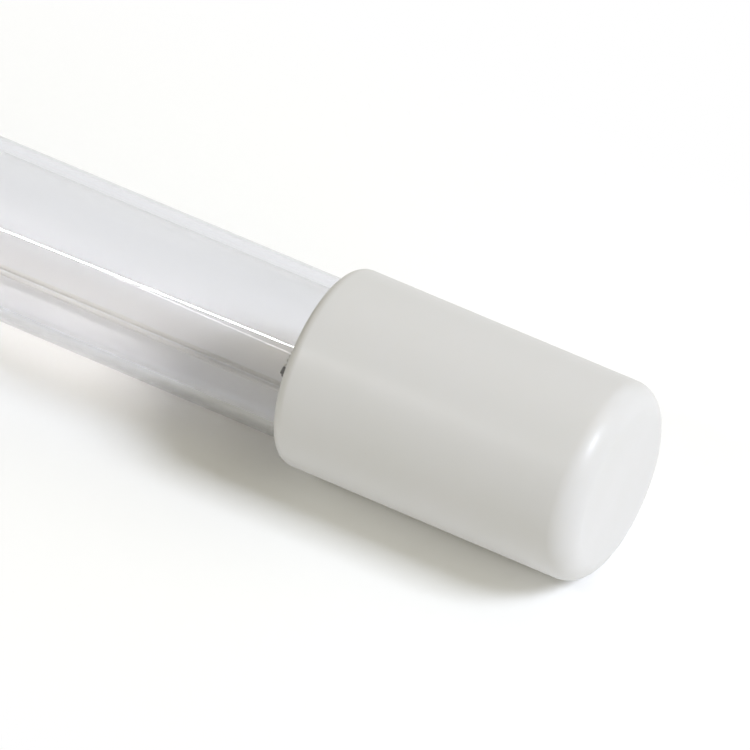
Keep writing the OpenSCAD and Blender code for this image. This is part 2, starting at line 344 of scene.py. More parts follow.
@dataclass(frozen=True)
class Quartz(Finish):
    """Clear drawn fused quartz with faint drawing lines."""

    clear: Colour = (0.962, 0.962, 0.970)
    cloudy: Colour = (0.947, 0.949, 0.960)
    line_depth: float = 0.00005 * MM
    body: Colour = (0.795, 0.81, 0.855)
    density: float = 224.0
    film: Colour = (0.905, 0.878, 0.828)

    def shade(self, graph: Graph) -> bpy.types.NodeSocket:
        """Draws the clear glass and its drawing lines, and lets the lamps' light through."""
        haze = graph.grain(60.0, 3.0, (0.3, 1.0, 1.0))
        lines = graph.grain(900.0, 2.0, (0.01, 1.0, 1.0))
        glass = graph.principled(
            Base_Color=graph.tint(haze, self.clear, self.cloudy),
            Roughness=0.0,
            IOR=1.458,
            Transmission_Weight=1.0,
            Normal=graph.bump(lines, self.line_depth),
        )
        film = graph.node("ShaderNodeBsdfTransparent", {"Color": self.film}).outputs[0]
        shadow = graph.node("ShaderNodeLightPath").outputs["Is Shadow Ray"]
        return graph.node("ShaderNodeMixShader", {0: shadow, 1: glass, 2: film}).outputs[0]

    def depth(self, graph: Graph) -> bpy.types.NodeSocket:
        """Gives the faint grey of the quartz itself, which deepens with its thickness."""
        return graph.node("ShaderNodeVolumeAbsorption", {"Color": self.body, "Density": self.density}).outputs[0]


@dataclass(frozen=True)
class Steatite(Finish):
    """Smooth white lamp ceramic: a satin skin with a fine grain and sparse pores."""

    body: Colour = (0.645, 0.638, 0.64)
    shade_colour: Colour = (0.635, 0.63, 0.625)
    speck: Colour = (0.55, 0.52, 0.47)

    def shade(self, graph: Graph) -> bpy.types.NodeSocket:
        """Draws the mottled body, its grain and its pores."""
        mottle = graph.grain(140.0, 4.0).between(0.3, 0.7)
        grain = graph.grain(5200.0, 3.0)
        sites = graph.cells(900.0)
        specks = (1.0 - sites.between(0.02, 0.07)) * graph.grain(300.0, 1.0).between(0.62, 0.66)
        base = graph.tint(mottle, self.body, self.shade_colour)
        return graph.principled(
            Base_Color=graph.tint(specks * 0.5, base, self.speck),
            Roughness=0.36 + 0.06 * mottle + 0.04 * grain,
            IOR=1.5,
            Coat_Weight=0.06 + 0.06 * mottle,
            Coat_Roughness=0.2,
            Subsurface_Weight=0.15,
            Subsurface_Radius=(1.0, 0.9, 0.8),
            Subsurface_Scale=0.6 * MM,
            Normal=graph.bump(grain - 0.8 * specks, 0.004 * MM, 0.5),
        )


@dataclass(frozen=True)
class Plaster(Finish):
    """Pale brown lamp cement: gritty, dull and pitted."""

    pale: Colour = (0.72, 0.64, 0.52)
    dark: Colour = (0.55, 0.46, 0.34)

    def shade(self, graph: Graph) -> bpy.types.NodeSocket:
        """Draws the grit and the pits."""
        grit = graph.grain(2600.0, 5.0).between(0.3, 0.7)
        pits = 1.0 - graph.cells(1700.0).between(0.05, 0.25)
        return graph.principled(
            Base_Color=graph.tint(grit, self.dark, self.pale),
            Roughness=0.85 + 0.1 * grit,
            Normal=graph.bump(grit - 0.7 * pits, 0.05 * MM),
        )


@dataclass(frozen=True)
class DrawnMetal(Finish):
    """Bare or plated metal with fine lines along or around it."""

    bright: Colour = (0.78, 0.77, 0.74)
    dull: Colour = (0.60, 0.58, 0.55)
    roughness: float = 0.22
    stretch: tuple[float, float, float] = (0.02, 1.0, 1.0)
    line_scale: float = 9000.0
    line_depth: float = 0.002 * MM

    def shade(self, graph: Graph) -> bpy.types.NodeSocket:
        """Draws the metal, its lines and its faint tarnish."""
        lines = graph.grain(self.line_scale, 2.0, self.stretch)
        tarnish = graph.grain(700.0, 4.0).between(0.35, 0.75)
        return graph.principled(
            Base_Color=graph.tint(tarnish, self.bright, self.dull),
            Metallic=1.0,
            Roughness=self.roughness + 0.12 * lines + 0.10 * tarnish,
            Normal=graph.bump(lines, self.line_depth, 0.6),
        )


@dataclass(frozen=True)
class EmitterCoat(Finish):
    """Tungsten coil under a powdery pale coat that has worn thin in places."""

    coat: Colour = (0.70, 0.68, 0.63)
    wire: Colour = (0.20, 0.19, 0.19)

    def shade(self, graph: Graph) -> bpy.types.NodeSocket:
        """Draws the coat and the bare wire under it."""
        worn = graph.grain(5000.0, 3.0).between(0.50, 0.62)
        powder = graph.grain(30000.0, 2.0)
        return graph.principled(
            Base_Color=graph.tint(worn, self.coat, self.wire),
            Metallic=0.7 * worn,
            Roughness=0.75 - 0.3 * worn,
            Normal=graph.bump(powder, 0.01 * MM),
        )


@dataclass(frozen=True)
class SleeveSkin(Finish):
    """Waxy pale insulating sleeve."""

    pale: Colour = (0.94, 0.925, 0.875)
    dark: Colour = (0.89, 0.87, 0.80)

    def shade(self, graph: Graph) -> bpy.types.NodeSocket:
        """Draws the waxy skin with its faint length-wise streaks."""
        streaks = graph.grain(2500.0, 3.0, (0.03, 1.0, 1.0))
        return graph.principled(
            Base_Color=graph.tint(streaks, self.pale, self.dark),
            Roughness=0.42 + 0.15 * streaks,
            IOR=1.38,
            Normal=graph.bump(streaks, 0.004 * MM),
        )


@dataclass(frozen=True)
class LiquidMetal(Finish):
    """Mercury with a breath of oxide on it."""

    def shade(self, graph: Graph) -> bpy.types.NodeSocket:
        """Draws the mirror and its faint skin."""
        skin = graph.grain(1500.0, 3.0).between(0.45, 0.75)
        return graph.principled(
            Base_Color=graph.tint(skin, (0.80, 0.81, 0.83), (0.66, 0.67, 0.69)),
            Metallic=1.0,
            Roughness=0.03 + 0.10 * skin,
        )


@dataclass(frozen=True)
class Tabletop(Finish):
    """The plain pale floor. It keeps the lamp's shadow near the lamp and is plain white further out."""

    colour: Colour = (0.985, 0.985, 0.985)
    half: float = 0.106
    near: float = 0.018
    far: float = 0.045

    def shade(self, graph: Graph) -> bpy.types.NodeSocket:
        """Draws a dull surface that fades to white with the distance from the lamp's axis."""
        fleck = graph.grain(400.0, 3.0)
        body = graph.principled(Base_Color=self.colour, Roughness=0.85 + 0.05 * fleck, Specular_IOR_Level=0.2)
        split = graph.node("ShaderNodeSeparateXYZ", {0: graph.place()}).outputs
        along, y = Num(graph, split["X"]) - self.half, Num(graph, split["Y"])
        past = graph.math("ABSOLUTE", along, 0.0) - self.half
        past = past.at_least(0.0)
        out = ((past * past + y * y) ** 0.5).between(self.near, self.far)
        white = graph.node("ShaderNodeEmission", {"Color": (1.0, 1.0, 1.0), "Strength": 1.0}).outputs[0]
        return graph.node("ShaderNodeMixShader", {0: out * seen(graph), 1: body, 2: white}).outputs[0]


def seen(graph: Graph, mirrored: float = 0.66) -> Num:
    """Tells which rays show a surface in the picture.

    Args:
        graph: the graph that asks.
        mirrored: the share for rays that see it in metal or through glass.

    Returns:
        1 on straight rays, the share on mirrored and refracted ones, and 0 on rays that light a dull surface.
    """
    path = graph.node("ShaderNodeLightPath").outputs
    glossy, refracted = (Num(graph, path[name]) for name in ("Is Glossy Ray", "Is Transmission Ray"))
    lighting = Num(graph, path["Diffuse Depth"]).between(0.0, 1.0)
    return Num(graph, path["Is Camera Ray"]).at_least(glossy.at_least(refracted) * (1.0 - lighting) * mirrored)


def counted(graph: Graph) -> Num:
    """Tells which rays bring light that the glass's shadow film has already let through.

    Args:
        graph: the graph that asks.

    Returns:
        1 on rays that light a dull surface through glass, else 0.
    """
    path = graph.node("ShaderNodeLightPath").outputs
    return Num(graph, path["Is Transmission Ray"]) * Num(graph, path["Diffuse Depth"]).between(0.0, 1.0)


QUARTZ = Quartz("fused_quartz")
CERAMIC = Steatite("white_steatite")
CEMENT = Plaster("lamp_cement")
PLATED = DrawnMetal("plated_pin", (0.82, 0.80, 0.74), (0.66, 0.63, 0.56), 0.16, (1.0, 0.02, 0.02), 7000.0)
MOLYBDENUM = DrawnMetal("molybdenum", (0.42, 0.41, 0.42), (0.26, 0.25, 0.26), 0.30)
# Near-black metal for the inner leads and their clamps, far darker than the bare molybdenum.
NEAR_BLACK_MOLY = DrawnMetal("near_black_molybdenum", (0.13, 0.125, 0.12), (0.06, 0.055, 0.05), 0.40)
NICKEL = DrawnMetal("nickel_wire", (0.66, 0.64, 0.60), (0.50, 0.48, 0.44), 0.25)
EMITTER = EmitterCoat("emitter_coat")
SLEEVE = SleeveSkin("pale_sleeve")
MERCURY = LiquidMetal("mercury")
TABLE = Tabletop("tabletop")


# Meshes


def shell(bm: bmesh.types.BMesh, rings: Sequence[Ring], cavity: bool = False) -> None:
    """Adds a closed skin through rings of points, with a pole at each end.

    Args:
        bm: the mesh to add to.
        rings: rings of equally many points, in order along the skin.
        cavity: whether the skin lines a hollow, so that its faces point inwards.
    """
    part = bmesh.new()
    rows = [[part.verts.new(p) for p in ring] for ring in rings]
    count = len(rows[0])
    for low, high in zip(rows, rows[1:]):
        for j in range(count):
            k = (j + 1) % count
            part.faces.new((low[j], low[k], high[k], high[j]))
    for row in (rows[0], rows[-1]):
        pole = part.verts.new(sum((v.co for v in row), Vector()) / count)
        for j in range(count):
            part.faces.new((pole, row[j], row[(j + 1) % count]))
    bmesh.ops.remove_doubles(part, verts=part.verts, dist=1e-8)
    bmesh.ops.recalc_face_normals(part, faces=part.faces)
    if (part.calc_volume(signed=True) < 0) != cavity:
        bmesh.ops.reverse_faces(part, faces=part.faces)
    spare = bpy.data.meshes.new("spare")
    part.to_mesh(spare)
    bm.from_mesh(spare)
    bpy.data.meshes.remove(spare)
    part.free()


def hose(bm: bmesh.types.BMesh, path: Sequence[Vector], outer: float, inner: float, sides: int = 24) -> None:
    """Adds a round pipe with an open bore along a nearly straight path.

    Args:
        bm: the mesh to add to.
        path: the pipe's centre line, which runs along X.
        outer: its outer radius.
        inner: its bore's radius.
        sides: the number of facets around it.
    """
    rows = []
    for radius, line in ((outer, path), (inner, path[::-1])):
        for p in line:
            turn = [2 * math.pi * j / sides for j in range(sides)]
            rows.append([bm.verts.new(p + Vector((0, radius * math.cos(a), radius * math.sin(a)))) for a in turn])
    for low, high in zip(rows, rows[1:] + rows[:1]):
        for j in range(sides):
            k = (j + 1) % sides
            bm.faces.new((low[j], low[k], high[k], high[j]))


def finished(
    name: str, bm: bmesh.types.BMesh, finish: Finish, replaces: Sequence[str] = (), crease: float = 35.0
) -> bpy.types.Object:
    """Turns a mesh into a piece of the lamp that rides on its one body.

    Args:
        name: the piece's name.
        bm: its mesh, which is freed.
        finish: its finish.
        replaces: the CAD nodes that it stands for.
        crease: the angle in degrees past which an edge stays sharp.

    Returns:
        The new object.
    """
    mesh = bpy.data.meshes.new(name)
    bm.to_mesh(mesh)
    bm.free()
    mesh.shade_smooth()
    mesh.set_sharp_from_angle(angle=math.radians(crease))
    mesh.materials.append(finish.material())
    made = bpy.data.objects.new(name, mesh)
    bpy.context.scene.collection.objects.link(made)
    return adopted(made, replaces)


def adopted(made: bpy.types.Object, replaces: Sequence[str] = ()) -> bpy.types.Object:
    """Makes an object a piece of the lamp and reports it."""
    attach(made, ROOT)
    if replaces:
        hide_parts(*replaces)
    log.info("%s: %d faces, stands for %s", made.name, len(made.data.polygons), ", ".join(replaces) or "itself")
    return made


def dress(nodes: Sequence[str], finish: Finish) -> None:
    """Gives CAD nodes that keep their shape their finish."""
    for name in nodes:
        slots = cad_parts[name].material_slots
        for slot in slots:
            slot.material = finish.material()
        log.info("%s: kept, %s", name, finish.name)


def arc(centre: tuple[float, float], radius: float, start: float, stop: float, steps: int) -> list[tuple[float, float]]:
    """Gives points along an arc.

    Args:
        centre: its centre, as station and distance from the axis.
        radius: its radius.
        start: the angle of its first point in degrees, 0 towards higher stations.
        stop: the angle of its last point in degrees.
        steps: the number of its pieces.

    Returns:
        The points, as station and distance from the axis.
    """
    angles = [math.radians(start + (stop - start) * k / steps) for k in range(steps + 1)]
    return [(centre[0] + radius * math.cos(a), centre[1] + radius * math.sin(a)) for a in angles]


def rings_about_axis(
    profile: Sequence[tuple[float, float]], angles: Sequence[float], place: Callable[[float, float, float], Vector]
) -> list[Ring]:
    """Turns a profile about the lamp's axis.

    Args:
        profile: points as station and distance from the axis.
        angles: the angles around the axis, in radians.
        place: gives the point for a station, a distance and an angle.

    Returns:
        One ring of points for each point of the profile.
    """
    return [[place(t, r, a) for a in angles] for t, r in profile]


# Geometry node trees


class GeometryTree:
    """A geometry node tree with named inputs that ends in Realize Instances and Set Material."""

    def __init__(self, name: str, sizes: Mapping[str, float | int]) -> None:
        """Starts a tree.

        Args:
            name: the tree's name.
            sizes: the named inputs and their values.
        """
        self.tree = bpy.data.node_groups.new(name, "GeometryNodeTree")
        face = self.tree.interface
        face.new_socket("Geometry", in_out="INPUT", socket_type="NodeSocketGeometry")
        face.new_socket("Geometry", in_out="OUTPUT", socket_type="NodeSocketGeometry")
        self.sizes = dict(sizes)
        for label, value in sizes.items():
            kind = "NodeSocketInt" if isinstance(value, int) else "NodeSocketFloat"
            face.new_socket(label, in_out="INPUT", socket_type=kind)
        self.source = self.tree.nodes.new("NodeGroupInput")

    def size(self, label: str) -> bpy.types.NodeSocket:
        """Gives the socket of a named input."""
        return self.source.outputs[label]

    def node(self, kind: str, inputs: Mapping[int | str, Any] | None = None, **settings: Any) -> bpy.types.Node:
        """Adds a node with its settings, then its values and links."""
        made = self.tree.nodes.new(kind)
        for name, value in settings.items():
            setattr(made, name, value)
        for name, value in (inputs or {}).items():
            if isinstance(value, bpy.types.NodeSocket):
                self.tree.links.new(value, made.inputs[name])
            else:
                made.inputs[name].default_value = value
        return made

    def math(self, operation: str, a: Any, b: Any = 0.0) -> bpy.types.NodeSocket:
        """Adds a Math node and gives its result."""
        return self.node("ShaderNodeMath", {0: a, 1: b}, operation=operation).outputs[0]

    def finish(self, geometry: bpy.types.NodeSocket, finish: Finish) -> None:
        """Ends the tree."""
        real = self.node("GeometryNodeRealizeInstances", {0: geometry}).outputs[0]
        dressed = self.node("GeometryNodeSetMaterial", {"Geometry": real, "Material": finish.material()})
        sink = self.node("NodeGroupOutput")
        self.tree.links.new(dressed.outputs[0], sink.inputs[0])

    def grown(self, name: str, seed_mesh: bpy.types.Mesh, slot: str, replaces: Sequence[str] = ()) -> bpy.types.Object:
        """Runs the tree once and keeps its result as a plain mesh.

        Args:
            name: the piece's name.
            seed_mesh: the mesh that the tree starts from.
            slot: a material slot's name; not used.
            replaces: the CAD nodes that it stands for.

        Returns:
            The new piece.
        """
        carrier = bpy.data.objects.new(name + "_carrier", seed_mesh)
        bpy.context.scene.collection.objects.link(carrier)
        grower = carrier.modifiers.new(self.tree.name, "NODES")
        grower.node_group = self.tree
        for item in self.tree.interface.items_tree:
            if item.name in self.sizes and item.in_out == "INPUT":
                grower[item.identifier] = self.sizes[item.name]
        bpy.context.view_layer.update()
        mesh = bpy.data.meshes.new_from_object(carrier.evaluated_get(bpy.context.evaluated_depsgraph_get()))
        mesh.name = name
        carrier.modifiers.clear()
        bpy.data.objects.remove(carrier)
        made = bpy.data.objects.new(name, mesh)
        bpy.context.scene.collection.objects.link(made)
        return adopted(made, replaces)


# Sub-assemblies


@dataclass
class QuartzTube:
    """The clear tube: round between the caps, pressed flat into a seal at each end."""

    lamp: Lamp
    sides: int = 288
    shoulder_steps: int = 16
    straight_steps: int = 60
    wave: float = 0.002 * MM
    cavity_seam: float = 0.25 * MM
    tip_r: float = 1.5 * MM
    tip_l: float = 4.0 * MM
    tip_lift: float = 3.6 * MM

    def build(self) -> bpy.types.Object:
        """Builds the outer skin, the hollow and the sealed exhaust tip."""
        bm = bmesh.new()
        shell(bm, self.skin(0.0))
        shell(bm, self.skin(self.lamp.tube_wall), cavity=True)
        shell(bm, self.tip())
        return finished("quartz_tube_drawn", bm, QUARTZ, ["quartz_tube"])

    def skin(self, inset: float) -> list[Ring]:
        """Gives the rings of one skin, from the base's seal to the blank end's.

        Args:
            inset: the depth of the skin below the outer surface.

        Returns:
            The rings.
        """
        lamp = self.lamp
        near = [(End.BASE, share, t) for share, t in self.end_stations(inset)]
        far = [(End.BLANK, share, t) for share, t in reversed(self.end_stations(inset))]
        first = lamp.tube_end + lamp.shoulder
        straight = [
            (End.BASE, 0.0, first + (lamp.length - 2 * first) * k / self.straight_steps)
            for k in range(1, self.straight_steps)
        ]
        return [self.ring(end, share, t, inset) for end, share, t in near + straight + far]

    def end_stations(self, inset: float) -> list[tuple[float, float]]:
        """Gives an end's stations from its seal inwards, each with how far it is pressed, from 1 to 0."""
        lamp = self.lamp
        closed = lamp.tube_end + inset
        turns = [math.pi / 2 * k / self.shoulder_steps for k in range(self.shoulder_steps + 1)]
        reach = lamp.shoulder - inset
        shoulder = [(math.cos(a), closed + reach - reach * math.cos(a)) for a in turns]
        if inset:
            return shoulder
        soft = 0.25 * MM
        return [(1.0, lamp.seal_from), (1.0, lamp.seal_from + soft), (1.0, closed - soft)] + shoulder

    def ring(self, end: End, share: float, t: float, inset: float) -> Ring:
        """Gives one ring: round where share is 0, and the seal's flat outline where it is 1."""
        lamp = self.lamp
        x = end.x(lamp, t)
        wobble = self.wave * noise.noise(Vector((x * 40.0, 0.0, inset * 900.0)))
        radius = lamp.tube_r - inset + wobble
        flat_w = lamp.seal_w / 2 - inset
        flat_t = max(lamp.seal_t / 2 - inset - 0.2 * MM, self.cavity_seam / 2) if inset else lamp.seal_t / 2
        press = 1.0 - math.sqrt(max(0.0, 1.0 - share * share))
        wide = radius + (flat_w - radius) * press
        thick = radius + (flat_t - radius) * press
        square = 2.0 / (2.0 + 5.0 * press)
        points = []
        for j in range(self.sides):
            a = 2 * math.pi * j / self.sides
            y = wide * math.copysign(abs(math.cos(a)) ** square, math.cos(a))
            z = thick * math.copysign(abs(math.sin(a)) ** square, math.sin(a))
            points.append(turned(lamp, x, y, z))
        return points

    def tip(self) -> list[Ring]:
        """Gives the rings of the exhaust tip, a small closed nipple beside the base's seal."""
        lamp = self.lamp
        outer = lamp.tube_end - self.tip_l
        dome = arc((outer + self.tip_r, 0.0), self.tip_r, 175.0, 90.0, 8)
        profile = dome + [(lamp.tube_end + 0.4 * lamp.tube_wall, self.tip_r)]
        angles = [2 * math.pi * j / 32 for j in range(32)]
        return rings_about_axis(
            profile,
            angles,
            lambda t, r, a: turned(lamp, t, r * math.cos(a), self.tip_lift + r * math.sin(a)),
        )


def turned(lamp: Lamp, x: float, y: float, z: float) -> Vector:
    """Gives a point of the electrode mounts' own cross-section in the lamp's frame."""
    c, s = math.cos(lamp.mount_turn), math.sin(lamp.mount_turn)
    return Vector((x, y * c - z * s, y * s + z * c))


@dataclass
class CeramicCap:
    """One ceramic cap: a cup with a filleted closed end, a rounded rim and two wire grooves."""

    lamp: Lamp
    end: End
    sides: int = 360
    fillet_steps: int = 20
    rim_steps: int = 16
    bore_edge: float = 0.12 * MM
    uneven: float = 0.012 * MM
    hole_room: float = 0.05 * MM
    collar_r: float = 1.7 * MM
    collar_t: float = 0.6 * MM

    def build(self) -> bpy.types.Object:
        """Builds the cap, and drills the base's for its pins."""
        bm = bmesh.new()
        angles = [2 * math.pi * j / self.sides for j in range(self.sides)]
        shell(bm, rings_about_axis(self.profile(), angles, self.place))
        if self.end is End.BASE:
            bm = self.drilled(bm)
        name = f"{self.end.value}_cap_fired"
        return finished(name, bm, CERAMIC, [f"{self.end.value}_cap"], 40.0)

    def profile(self) -> list[tuple[float, float]]:
        """Gives the outline from the closed face's centre round the rim to the bore's floor."""
        lamp = self.lamp
        face_r = lamp.cap_r - lamp.cap_fillet
        face = [(0.0, face_r * share) for share in (0.02, 0.35, 0.7, 0.9, 0.985)]
        fillet = arc((lamp.cap_fillet, face_r), lamp.cap_fillet, 180.0, 90.0, self.fillet_steps)
        rim_t = lamp.cap_l - lamp.rim_round
        barrel_from = lamp.cap_fillet
        barrel = [(barrel_from + (rim_t - barrel_from) * k / 24, lamp.cap_r) for k in range(1, 24)]
        rim = arc((rim_t, lamp.cap_r - lamp.rim_round), lamp.rim_round, 90.0, 0.0, self.rim_steps)
        edge = arc((lamp.cap_l - self.bore_edge, lamp.bore_r + self.bore_edge), self.bore_edge, 0.0, -90.0, 4)
        bore = [(t, lamp.bore_r) for t in (lamp.cap_l - 1.0 * MM, lamp.cap_end + 1.0 * MM, lamp.cap_end)]
        floor = [(lamp.cap_end, lamp.bore_r * share) for share in (0.5, 0.02)]
        return face + fillet + barrel + rim + edge + bore + floor

    def place(self, t: float, r: float, a: float) -> Vector:
        """Gives a point of the cap, a little uneven outside and grooved in the bore."""
        lamp = self.lamp
        x = self.end.x(lamp, t)
        in_bore = t > lamp.cap_end - 1e-9 and r < lamp.bore_r + self.bore_edge + 1e-9
        if in_bore and r > 0.9 * lamp.bore_r:
            r = max([r] + [self.groove(a, y, z) for y, z in lamp.sleeve_orbits])
        elif not in_bore:
            spot = Vector((x * 90.0, 0.7 * math.cos(a), 0.7 * math.sin(a)))
            r += self.uneven * noise.noise(spot) * min(1.0, r / lamp.cap_r * 2.0)
        return Vector((x, r * math.cos(a), r * math.sin(a)))

    def groove(self, a: float, y: float, z: float) -> float:
        """Gives how far out a wire groove reaches at an angle, or 0 where it doesn't."""
        radius = self.lamp.sleeve_r + self.lamp.fit_gap
        along = y * math.cos(a) + z * math.sin(a)
        across = y * math.sin(a) - z * math.cos(a)
        return along + math.sqrt(radius**2 - across**2) if along > 0 and abs(across) < radius else 0.0

    def drilled(self, bm: bmesh.types.BMesh) -> bmesh.types.BMesh:
        """Cuts the pin holes and their counterbores into the closed end.

        Args:
            bm: the cap's mesh, which is freed.

        Returns:
            The mesh with its holes.
        """
        lamp = self.lamp
        drill = bmesh.new()
        pitch_y, pitch_z = lamp.pin_pitch
        angles = [2 * math.pi * j / 64 for j in range(64)]
        hole_r = lamp.shank_r + self.hole_room
        sink_r = self.collar_r + self.hole_room
        chamfer = 0.12 * MM
        profile = [
            (-1.0 * MM, sink_r + chamfer),
            (0.0, sink_r + chamfer),
            (chamfer, sink_r),
            (self.collar_t, sink_r),
            (self.collar_t, hole_r),
            (lamp.cap_end + 1.0 * MM, hole_r),
        ]
        for sy in (1, -1):
            for sz in (1, -1):
                y, z = sy * pitch_y / 2, sz * pitch_z / 2
                shell(
                    drill,
                    rings_about_axis(
                        profile,
                        angles,
                        lambda t, r, a, y=y, z=z: Vector((t, y + r * math.cos(a), z + r * math.sin(a))),
                    ),
                )
        body, tool = (plain_object(f"base_cap_{word}", part) for word, part in (("blank", bm), ("drill", drill)))
        cut = body.modifiers.new("holes", "BOOLEAN")
        cut.object = tool
        cut.operation = "DIFFERENCE"
        cut.solver = "EXACT"
        bpy.context.view_layer.update()
        mesh = bpy.data.meshes.new_from_object(body.evaluated_get(bpy.context.evaluated_depsgraph_get()))
        result = bmesh.new()
        result.from_mesh(mesh)
        for spent in (body, tool):
            bpy.data.objects.remove(spent)
        bpy.data.meshes.remove(mesh)
        return result


def plain_object(name: str, bm: bmesh.types.BMesh) -> bpy.types.Object:
    """Puts a mesh into a bare object for a modifier to use, and frees it."""
    mesh = bpy.data.meshes.new(name)
    bm.to_mesh(mesh)
    bm.free()
    made = bpy.data.objects.new(name, mesh)
    bpy.context.scene.collection.objects.link(made)
    return made


@dataclass
class CementFillet:
    """The uneven bead of cement that closes the gap between a cap's rim and the tube."""

    lamp: Lamp
    end: End
    seed: int = 3
    points: int = 420
    swell: float = 0.35

    def build(self) -> bpy.types.Object:
        """Grows the bead around the tube."""
        lamp = self.lamp
        gap = lamp.bore_r - lamp.tube_r
        tree = GeometryTree(
            f"cement_fillet_{self.end.value}",
            {
                "Ring Radius": lamp.tube_r + gap / 2,
                "Bead Radius": gap / 2 - lamp.fit_gap,
                "Station": self.end.x(lamp, lamp.cap_l - lamp.cement_recess - 0.04 * MM),
                "Swell": self.swell,
                "Seed": float(self.seed),
            },
        )
        circle = tree.node(
            "GeometryNodeCurvePrimitiveCircle", {"Resolution": self.points, "Radius": tree.size("Ring Radius")}
        )
        stood = tree.node(
            "GeometryNodeTransform",
            {
                "Geometry": circle.outputs[0],
                "Rotation": (0.0, math.pi / 2, 0.0),
                "Translation": tree.node("ShaderNodeCombineXYZ", {0: tree.size("Station")}).outputs[0],
            },
        )
        lumps = tree.node(
            "ShaderNodeTexNoise", {"W": tree.size("Seed"), "Scale": 420.0, "Detail": 4.0}, noise_dimensions="4D"
        )
        even = tree.math("SUBTRACT", lumps.outputs[0], 0.5)
        girth = tree.math("SUBTRACT", 1.0, tree.math("ABSOLUTE", tree.math("MULTIPLY", even, tree.size("Swell"))))
        shifted = tree.math("MULTIPLY", even, 0.9 * MM)
        moved = tree.node(
            "GeometryNodeSetPosition",
            {
                "Geometry": stood.outputs[0],
                "Offset": tree.node("ShaderNodeCombineXYZ", {0: shifted}).outputs[0],
            },
        )
        sized = tree.node("GeometryNodeSetCurveRadius", {"Curve": moved.outputs[0], "Radius": girth})
        ring = tree.node("GeometryNodeCurvePrimitiveCircle", {"Resolution": 12, "Radius": tree.size("Bead Radius")})
        bead = tree.node(
            "GeometryNodeCurveToMesh",
            {"Curve": sized.outputs[0], "Profile Curve": ring.outputs[0], "Scale": girth},
        )
        smooth = tree.node("GeometryNodeSetShadeSmooth", {0: bead.outputs[0]})
        tree.finish(smooth.outputs[0], CEMENT)
        start = bpy.data.meshes.new("cement_seed")
        return tree.grown(f"{self.end.value}_cement_fillet", start, "lamp_cement")


@dataclass
class ContactPins:
    """The four pins of the base: solid shanks with a collar in the ceramic and a swaged flange behind it."""

    lamp: Lamp
    sides: int = 48
    tip_r: float = 0.7 * MM
    collar_r: float = 1.7 * MM
    collar_t: float = 0.6 * MM
    flange_r: float = 1.6 * MM
    flange_t: float = 0.4 * MM
    socket_r: float = 0.22 * MM
    socket_l: float = 2.4 * MM
    chamfer: float = 0.1 * MM

    def build(self) -> bpy.types.Object:
        """Instances one turned pin on the corners of the base's rectangle."""
        lamp = self.lamp
        tree = GeometryTree(
            "pins_on_rectangle", {"Pitch Y": lamp.pin_pitch[0], "Pitch Z": lamp.pin_pitch[1], "Rows": 2}
        )
        corners = tree.node(
            "GeometryNodeMeshGrid",
            {
                "Size X": tree.size("Pitch Z"),
                "Size Y": tree.size("Pitch Y"),
                "Vertices X": tree.size("Rows"),
                "Vertices Y": tree.size("Rows"),
            },
        )
        stood = tree.node(
            "GeometryNodeTransform", {"Geometry": corners.outputs[0], "Rotation": (0.0, math.pi / 2, 0.0)}
        )
        pins = tree.node(
            "GeometryNodeInstanceOnPoints", {"Points": stood.outputs[0], "Instance": tree.source.outputs[0]}
        )
        tree.finish(pins.outputs[0], PLATED)
        return tree.grown(
            "contact_pins_plated", self.one_pin(), "pin_metal", [f"contact_pin_{k}" for k in (1, 2, 3, 4)]
        )

    def one_pin(self) -> bpy.types.Mesh:
        """Turns one pin on the lamp's axis."""
        lamp = self.lamp
        back = lamp.cap_end + self.flange_t
        c = self.chamfer
        tip = arc((self.tip_r - lamp.pin_l, lamp.pin_r - self.tip_r), self.tip_r, 180.0, 90.0, 10)
        profile = [(-lamp.pin_l, 0.02 * MM), *tip, (-0.02 * MM, lamp.pin_r)]
        profile += [(0.0, lamp.pin_r + 0.05 * MM), (0.0, self.collar_r - c), (c, self.collar_r)]
        profile += [(self.collar_t, self.collar_r), (self.collar_t, lamp.shank_r), (lamp.cap_end, lamp.shank_r)]
        profile += [(lamp.cap_end, self.flange_r), (back - c, self.flange_r), (back, self.flange_r - c)]
        profile += [(back, self.socket_r), (back - self.socket_l, self.socket_r), (back - self.socket_l, 0.02 * MM)]
        angles = [2 * math.pi * j / self.sides for j in range(self.sides)]
        bm = bmesh.new()
        shell(
            bm,
            rings_about_axis(profile, angles, lambda t, r, a: Vector((t, r * math.cos(a), r * math.sin(a)))),
        )
        mesh = bpy.data.meshes.new("one_pin")
        bm.to_mesh(mesh)
        bm.free()
        mesh.shade_smooth()
        mesh.set_sharp_from_angle(angle=math.radians(35.0))
        return mesh


